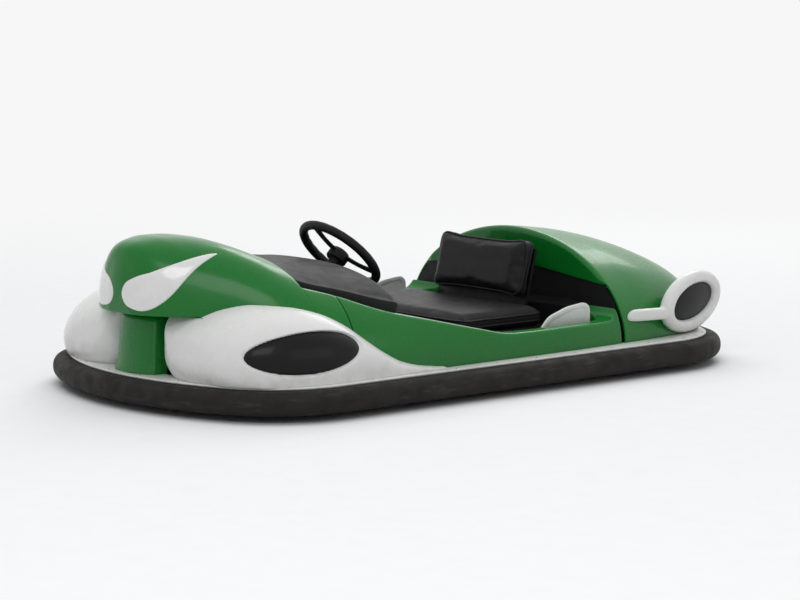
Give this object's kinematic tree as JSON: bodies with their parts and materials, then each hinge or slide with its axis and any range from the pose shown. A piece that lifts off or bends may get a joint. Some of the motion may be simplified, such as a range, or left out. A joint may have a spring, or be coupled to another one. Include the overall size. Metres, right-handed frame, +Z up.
{
  "type": "bumper car",
  "caption": "Low open two-seat bumper car with an overhanging rounded nose, oval-set front fairings, a round rubber bumper, a steered drive wheel and two fixed rear wheels",
  "frame": {"origin": "on the floor, below the middle of the rubber bumper's length and width", "axes": "+X to the nose, +Y to the car's left, +Z up"},
  "size_m": [2, 1.15, 0.4513],
  "materials": {
    "green_shell": "gloss",
    "white_shell": "gloss",
    "black_trim": "satin",
    "seat_vinyl": "grained",
    "chassis_paint": "satin",
    "bare_steel": "worn",
    "motor_paint": "satin",
    "bumper_rubber": "matte",
    "mat_rubber": "ribbed",
    "tyre_rubber": "matte",
    "shoe_brass": "worn"
  },
  "bodies": {
    "chassis": {"floor_pan": "chassis_paint", "chassis_frame": "chassis_paint", "bumper_band": "bare_steel", "bumper_tube": "bumper_rubber", "sill_trim": "white_shell", "hood": "green_shell", "side_panel_left": "green_shell", "side_panel_right": "green_shell", "tail_body": "green_shell", "nose_keel": "green_shell", "front_pod_left": "white_shell", "front_pod_right": "white_shell", "pod_disc_left": "black_trim", "pod_disc_right": "black_trim", "headlamp_left": "white_shell", "headlamp_right": "white_shell", "rear_ring_left": "white_shell", "rear_ring_right": "white_shell", "rear_disc_left": "black_trim", "rear_disc_right": "black_trim", "cockpit_liner": "black_trim", "rear_bulkhead": "black_trim", "dash_cowl": "black_trim", "seat_box": "black_trim", "seat_cushion": "seat_vinyl", "seat_back": "seat_vinyl", "seat_side_panels": "white_shell", "floor_mat": "mat_rubber", "pedal": "bare_steel", "steering_column": "black_trim", "swivel_bearing": "bare_steel", "rear_axle": "bare_steel", "pickup_shoes": "shoe_brass"},
    "drive_unit": {"drive_frame": "bare_steel", "drive_motor": "motor_paint"},
    "drive_wheel": {"drive_hub": "bare_steel", "drive_tyre": "tyre_rubber"},
    "rear_wheel_left": {"rear_hub_left": "bare_steel", "rear_tyre_left": "tyre_rubber"},
    "rear_wheel_right": {"rear_hub_right": "bare_steel", "rear_tyre_right": "tyre_rubber"},
    "steering": {"steering_wheel": "black_trim"}
  },
  "joints": [
    {"name": "drive_swivel", "type": "hinge", "parent": "chassis", "child": "drive_unit", "pos_m": [0.64, 0, 0.06], "axis": [0, 0, 1], "continuous": true},
    {"name": "drive_wheel_spin", "type": "hinge", "parent": "drive_unit", "child": "drive_wheel", "pos_m": [0.64, 0, 0.085], "axis": [0, 1, 0], "continuous": true},
    {"name": "rear_wheel_left_spin", "type": "hinge", "parent": "chassis", "child": "rear_wheel_left", "pos_m": [-0.62, 0.33, 0.07], "axis": [0, 1, 0], "continuous": true},
    {"name": "rear_wheel_right_spin", "type": "hinge", "parent": "chassis", "child": "rear_wheel_right", "pos_m": [-0.62, -0.33, 0.07], "axis": [0, 1, 0], "continuous": true},
    {"name": "steering_turn", "type": "hinge", "parent": "chassis", "child": "steering", "pos_m": [0.205, 0, 0.352], "axis": [-0.7071, 0, 0.7071], "continuous": true}
  ],
  "couplings": [
    {"joint": "steering_turn", "follows": "drive_swivel", "ratio": 1}
  ]
}
